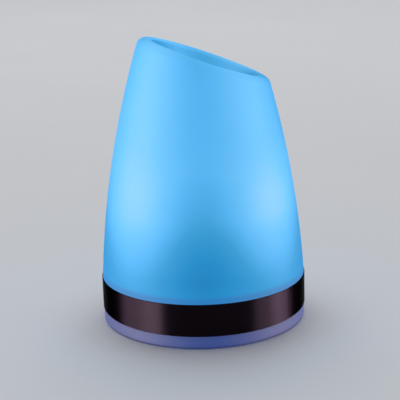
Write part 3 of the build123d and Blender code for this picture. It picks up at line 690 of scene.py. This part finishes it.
def add_socket_contacts():
    """The contacts on both faces of the charging socket's tongue."""
    count = 6
    pitch = 1.0 * MM
    off_middle = 0.37 * MM              # from the tongue's middle plane to its contacts
    depth = 3.2 * MM                    # from the socket's mouth to the contacts' middle
    size = (0.5 * MM, 0.06 * MM, 4.2 * MM)
    mouth = reach("charging_socket", outward(PORT_ANGLE))
    place = facing_out(PORT_ANGLE, mouth - depth, middle("charging_socket").z)
    mesh = bmesh.new()
    for side in spread(count, pitch):
        for face in (-off_middle, off_middle):
            chip(mesh, size, place @ at(side, face, 0.0))
    piece("socket_contacts", mesh, "lamp", "shield_metal")


# ================================================================ light engine details
def led_places():
    """The face angle and height of every LED, from the CAD LEDs' boxes."""
    leds_on_board = 5
    led_side = 5.0 * MM
    for number, angle in enumerate(FACE_ANGLES, start=1):
        low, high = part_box(f"leds_{number}")
        step = (high.z - low.z - led_side) / (leds_on_board - 1)
        for index in range(leds_on_board):
            yield angle, low.z + led_side / 2 + index * step


def add_leds():
    """The phosphor dome in each LED's window, and the solder legs at its sides."""
    window_depth = 0.4 * MM
    dome = in_metres([(1.95, 0.0), (1.7, 0.16), (1.1, 0.27), (0.0, 0.32)])
    leg = (0.7 * MM, 0.9 * MM, 0.35 * MM)
    legs_apart = 5.4 * MM
    legs_on_side = 3
    leg_pitch = 1.6 * MM
    front = reach("leds_1", outward(FACE_ANGLES[0]))
    back = -reach("leds_1", -outward(FACE_ANGLES[0]))
    domes = bmesh.new()
    legs = bmesh.new()
    for angle, z in led_places():
        lathe(domes, dome, facing_out(angle, front - window_depth, z), segments=24)
        for side in spread(2, legs_apart):
            for row in spread(legs_on_side, leg_pitch):
                chip(legs, leg, facing_out(angle, back, z) @ at(side, row, 0.0))
    piece("led_phosphor", domes, "lamp", "led_package")
    piece("led_legs", legs, "lamp", "shield_metal")


def add_header_pins():
    """The pins that join the ring board to the LED boards."""
    count = 4
    pitch = 2.5 * MM
    radius = 0.3 * MM
    inset = 0.35 * MM
    proud = 0.6 * MM
    far = reach("link_headers", outward(FACE_ANGLES[0])) - inset
    low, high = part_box("link_headers")
    mesh = bmesh.new()
    for angle in FACE_ANGLES:
        for side in spread(count, pitch):
            place = facing_out(angle, far, 0.0) @ at(side, 0.0, 0.0)
            path = [place @ Vector((0.0, z, 0.0)) for z in (low.z, high.z + proud)]
            tube(mesh, path, radius, sides=4)
    piece("header_pins", mesh, "lamp", "shield_metal")


def add_wire_joints():
    """Solder domes where the wires meet the ring board."""
    count = 4
    wire = 0.5 * MM
    dome = in_metres([(0.95, 0.0), (0.8, 0.35), (0.45, 0.75), (0.0, 0.9)])
    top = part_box("ring_board")[1].z
    low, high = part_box("led_wires")
    step = (high.x - low.x - 2 * wire) / (count - 1)
    mesh = bmesh.new()
    for index in range(count):
        lathe(mesh, dome, at(low.x + wire + index * step, low.y + wire, top), segments=20)
    piece("wire_joints", mesh, "lamp", "shield_metal")


# ================================================================ main board details
BOARD_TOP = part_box("main_board")[1].z
# rows of small parts: the first one's x and y, the step in x and y, and how many
SMALL_PART_ROWS = (
    (-2.0, 38.0, 2.2, 0.0, 5),
    (-2.0, 41.5, 2.2, 0.0, 5),
    (9.4, 20.0, 0.0, 3.0, 5),
    (-14.0, 34.0, 0.0, 2.2, 4),
    (10.0, 3.0, 2.4, 0.0, 3),
    (-14.0, 5.0, 2.4, 0.0, 4),
)


def add_small_parts():
    """Rows of small surface-mounted parts with tinned ends."""
    body = (0.9 * MM, 1.3 * MM, 0.55 * MM)
    body_edge = 0.06 * MM
    end = (0.95 * MM, 0.4 * MM, 0.58 * MM)
    end_edge = 0.08 * MM
    ends_apart = 1.6 * MM
    bodies = bmesh.new()
    ends = bmesh.new()
    for first_x, first_y, step_x, step_y, count in SMALL_PART_ROWS:
        for index in range(count):
            x = (first_x + index * step_x) * MM
            y = (first_y + index * step_y) * MM
            chip(bodies, body, at(x, y, BOARD_TOP), body_edge)
            for side in spread(2, ends_apart):
                chip(ends, end, at(x, y + side, BOARD_TOP), end_edge)
    piece("small_parts", bodies, "lamp", "chip_moulding")
    piece("small_part_ends", ends, "lamp", "shield_metal")


def add_driver_legs(mesh):
    """Bent legs along both sides of the driver chips."""
    chips = 4
    chip_side = 4.0 * MM
    legs_on_side = 4
    leg_pitch = 1.0 * MM
    radius = 0.17 * MM
    bend = in_metres([(-0.2, 0.75), (0.25, 0.75), (0.5, 0.15), (1.0, 0.12)])    # out and up
    low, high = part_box("driver_chips")
    step = (high.y - low.y - chip_side) / (chips - 1)
    for row in range(chips):
        chip_y = low.y + chip_side / 2 + row * step
        for y in spread(legs_on_side, leg_pitch):
            for side, edge in ((-1, low.x), (1, high.x)):
                path = [Vector((edge + side * out, chip_y + y, BOARD_TOP + up)) for out, up in bend]
                tube(mesh, path, radius, sides=4)


def add_charge_chip_pads(mesh):
    """Solder pads along the four sides of the charging chip."""
    pads_on_side = 6
    pitch = 0.7 * MM
    from_middle = 2.55 * MM
    size = (0.5 * MM, 0.3 * MM, 0.2 * MM)
    centre = middle("charge_chip")
    for quarter in range(4):
        turn = Matrix.Rotation(math.tau * quarter / 4, 4, "Z")
        for side in spread(pads_on_side, pitch):
            chip(mesh, size, at(centre.x, centre.y, BOARD_TOP) @ turn @ at(from_middle, side, 0.0))


def add_chip_legs():
    mesh = bmesh.new()
    add_driver_legs(mesh)
    add_charge_chip_pads(mesh)
    piece("chip_legs", mesh, "lamp", "shield_metal")


def add_antenna():
    """The folded track aerial on the wireless module's bare end."""
    folds = 8
    first = 1.8 * MM
    pitch = 1.75 * MM
    shield_gap = 0.9 * MM
    edge_gap = 0.7 * MM
    raised = 0.02 * MM
    radius = 0.25 * MM
    low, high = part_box("wireless_module")
    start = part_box("module_shield")[1].y + shield_gap
    end = high.y - edge_gap
    path = []
    for fold in range(folds):
        x = low.x + first + fold * pitch
        ends = (start, end) if fold % 2 == 0 else (end, start)
        path += [Vector((x, y, high.z + raised)) for y in ends]
    mesh = bmesh.new()
    for before, after in zip(path, path[1:]):
        tube(mesh, [before, after], radius, sides=4, flat=0.2)
    piece("aerial_track", mesh, "lamp", "shield_metal")


def add_shield_marks():
    """The pressed lip and vent dimples on the module's tin shield."""
    inset = 0.9 * MM
    lip = 0.16 * MM
    dimple = in_metres([(0.45, 0.0), (0.3, 0.1), (0.0, 0.14)])
    dimple_columns = 5
    dimple_rows = 3
    dimple_pitch = 2.1 * MM
    low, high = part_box("module_shield")
    centre = middle("module_shield")
    left, right = low.x + inset, high.x - inset
    near, far = low.y + inset, high.y - inset
    corners = [(left, near), (right, near), (right, far), (left, far), (left, near)]
    path = [Vector((x, y, high.z)) for x, y in corners]
    mesh = bmesh.new()
    for before, after in zip(path, path[1:]):
        tube(mesh, [before, after], lip)
    for x in spread(dimple_columns, dimple_pitch):
        for y in spread(dimple_rows, dimple_pitch):
            lathe(mesh, dimple, at(centre.x + x, centre.y + y, high.z), segments=16)
    piece("shield_marks", mesh, "lamp", "shield_metal")


# ================================================================ battery details
def add_cell_details():
    """Insulating rings on the cell's ends, and the weld dimples on its tabs."""
    ring = in_metres([(6.9, 0.0), (6.95, 0.12), (8.5, 0.12), (8.55, 0.0)])
    weld = in_metres([(0.55, 0.0), (0.4, 0.08), (0.0, 0.12)])
    welds_apart = 2.2 * MM
    weld_heights = (2.0 * MM, 4.2 * MM)     # above the cell's axis
    low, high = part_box("battery_cell")
    centre = middle("battery_cell")
    tab_low, tab_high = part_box("battery_tabs")
    rings = bmesh.new()
    welds = bmesh.new()
    for angle, end, tab in ((math.pi, low.x, tab_low.x), (0.0, high.x, tab_high.x)):
        turn = facing_out(angle, 0.0, 0.0)
        lathe(rings, ring, at(end, centre.y, centre.z) @ turn)
        for y in spread(2, welds_apart):
            for z in weld_heights:
                lathe(welds, weld, at(tab, centre.y + y, centre.z + z) @ turn, segments=16)
    piece("cell_end_rings", rings, "lamp", "white_plastic")
    piece("tab_welds", welds, "lamp", "shield_metal")


# ================================================================ underside details
def add_ribbed_feet():
    """The rubber feet, with three round grooves in each sole."""
    low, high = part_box("foot_pads")
    height = high.z - low.z
    groove_radii = (1.5, 3.0, 4.5)
    groove_depth = 0.3
    mouth = 0.35                        # half the groove's width at the sole
    bottom = 0.2                        # and at its bottom
    rounded_rim = [(5.6, 0.0), (5.88, 0.1), (6.0, 0.4)]
    sole = [(0.0, 0.0)]
    for groove in groove_radii:
        sole += [(groove - mouth, 0.0), (groove - bottom, groove_depth)]
        sole += [(groove + bottom, groove_depth), (groove + mouth, 0.0)]
    sole += rounded_rim
    outline = in_metres(sole)
    radius = outline[-1][0]
    outline += [(radius, height), (0.0, height)]
    from_axis_to_foot = (high.x - radius) * math.sqrt(2)
    mesh = bmesh.new()
    for angle in FACE_ANGLES:
        middle_of_foot = outward(angle) * from_axis_to_foot
        lathe(mesh, outline, at(middle_of_foot.x, middle_of_foot.y, low.z))
    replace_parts(piece("ribbed_feet", mesh, "lamp", "soft_rubber"), "foot_pads")


def add_underside_ribs():
    """Two low stiffening ribs moulded round the base's underside."""
    rib_radii = (22.0 * MM, 35.0 * MM)
    half_width = 0.6 * MM
    depth = 0.2 * MM
    sunk = 0.05 * MM
    rib_steps = 8
    steps = [math.pi * index / rib_steps for index in range(rib_steps + 1)]
    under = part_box("base_tub")[0].z
    mesh = bmesh.new()
    for radius in rib_radii:
        rib = [(radius - half_width * math.cos(t), sunk - depth * math.sin(t)) for t in steps]
        lathe(mesh, rib, at(0.0, 0.0, under), segments=128)
    piece("underside_ribs", mesh, "lamp", "glow_base")


add_power_mark()
add_button_coil()
add_cover_ridges()
add_socket_contacts()
add_leds()
add_header_pins()
add_wire_joints()
add_small_parts()
add_chip_legs()
add_antenna()
add_shield_marks()
add_cell_details()
add_ribbed_feet()
add_underside_ribs()


# ================================================================ studio
CAMERA_AZIMUTH = math.radians(-4.8)
CAMERA_ELEVATION = math.radians(15.01)
CAMERA_DISTANCE = 594.6 * MM
CAMERA_AIM = Vector((0.0, 0.0, 63.8 * MM))
CAMERA_AIM_SIDE = -0.7 * MM
CAMERA_ROLL = math.radians(-1.63)
PANEL_DISTANCE = 1.0
PANEL_HEIGHT = 0.22
PANEL_TALL = 0.36
PANEL_SPREAD = math.radians(80.0)
# low panels beside the lamp: degrees from the camera's direction, width in metres, watts
PANELS = {
    "left_bright": (-60, 0.50, 4.6),
    "left_dim": (-87, 0.44, 2.5),
    "right_dim": (66, 0.36, 1.4),
    "right_bright": (90, 0.50, 4.8),
}
OVERHEAD_BACK = 1.4
OVERHEAD_HEIGHT = 3.2
OVERHEAD_SIDE = 3.2
OVERHEAD_POWER = 78.0


def add_camera():
    """The camera at the photograph's angle and distance."""
    away = Vector((math.sin(CAMERA_AZIMUTH), -math.cos(CAMERA_AZIMUTH), 0.0))
    back = away * math.cos(CAMERA_ELEVATION)
    back.z = math.sin(CAMERA_ELEVATION)
    side = Vector((math.cos(CAMERA_AZIMUTH), math.sin(CAMERA_AZIMUTH), 0.0))
    data = bpy.data.cameras.new("camera")
    data.sensor_width = 36.0
    data.lens = 99.0
    data.clip_start = 0.01
    data.clip_end = 50.0
    camera = bpy.data.objects.new("camera", data)
    bpy.context.scene.collection.objects.link(camera)
    camera.location = CAMERA_AIM + back * CAMERA_DISTANCE
    aim = CAMERA_AIM + side * CAMERA_AIM_SIDE - camera.location
    turn = aim.to_track_quat("-Z", "Y").to_matrix() @ Matrix.Rotation(CAMERA_ROLL, 3, "Z")
    camera.rotation_mode = "QUATERNION"
    camera.rotation_quaternion = turn.to_quaternion()
    bpy.context.scene.camera = camera


def add_light(name, place, size, power):
    """A soft rectangular light that shines down, unseen by the camera itself."""
    data = bpy.data.lights.new(name, "AREA")
    data.shape = "RECTANGLE"
    data.size, data.size_y = size
    data.energy = power
    light = bpy.data.objects.new(name, data)
    light.location = place
    light.visible_camera = False
    bpy.context.scene.collection.objects.link(light)
    return light


def add_side_panel(name, azimuth, width, power, lights_up):
    """A low upright panel that faces the lamp's axis and lights only the given group."""
    angle = CAMERA_AZIMUTH + math.radians(azimuth)
    away = Vector((math.sin(angle), -math.cos(angle), 0.0))
    place = away * PANEL_DISTANCE
    place.z = PANEL_HEIGHT
    panel = add_light(name, place, (width, PANEL_TALL), power)
    panel.rotation_mode = "QUATERNION"
    panel.rotation_quaternion = (-away).to_track_quat("-Z", "Y")
    panel.data.spread = PANEL_SPREAD
    panel.light_linking.receiver_collection = lights_up


def add_floor():
    """A plain pale floor that curves up into a round studio wall."""
    flat_rings = (0.0, 1.0, 2.0)
    floor_radius = 3.5
    bend = 1.5
    bend_steps = 16
    wall_top = 6.0
    steps = [math.pi / 2 * index / bend_steps for index in range(bend_steps + 1)]
    outline = [(radius, 0.0) for radius in flat_rings]
    outline += [(floor_radius + bend * math.sin(t), bend - bend * math.cos(t)) for t in steps]
    outline.append((floor_radius + bend, wall_top))
    builder = bmesh.new()
    lathe(builder, outline, Matrix.Identity(4), segments=128)
    for face in builder.faces:
        face.smooth = True
    mesh = bpy.data.meshes.new("floor")
    builder.to_mesh(mesh)
    builder.free()
    floor = bpy.data.objects.new("floor", mesh)
    bpy.context.scene.collection.objects.link(floor)
    m = Maker("pale_floor")
    m.set(
        Base_Color=m.mix(m.noise(4.0, detail=4.0), (0.72, 0.73, 0.75), (0.76, 0.77, 0.79)),
        Roughness=0.6,
        Specular_IOR_Level=0.2,
    )
    mesh.materials.append(m.material)
    return floor


def all_but(thing):
    """A light-linking group that leaves one object out."""
    group = bpy.data.collections.new("all_but_" + thing.name)
    group.objects.link(thing)
    group.collection_objects[0].light_linking.link_state = "EXCLUDE"
    return group


def add_world():
    world = bpy.data.worlds.new("studio")
    world.use_nodes = True
    background = world.node_tree.nodes["Background"]
    background.inputs["Color"].default_value = (0.82, 0.83, 0.86, 1.0)
    background.inputs["Strength"].default_value = 0.3
    bpy.context.scene.world = world


add_camera()
off_the_floor = all_but(add_floor())
add_world()
for panel_name, (panel_azimuth, panel_width, panel_power) in PANELS.items():
    add_side_panel(panel_name, panel_azimuth, panel_width, panel_power, off_the_floor)
overhead_place = Vector((0.0, OVERHEAD_BACK, OVERHEAD_HEIGHT))
add_light("overhead", overhead_place, (OVERHEAD_SIDE, OVERHEAD_SIDE), OVERHEAD_POWER)
bpy.context.scene.view_settings.view_transform = "Standard"
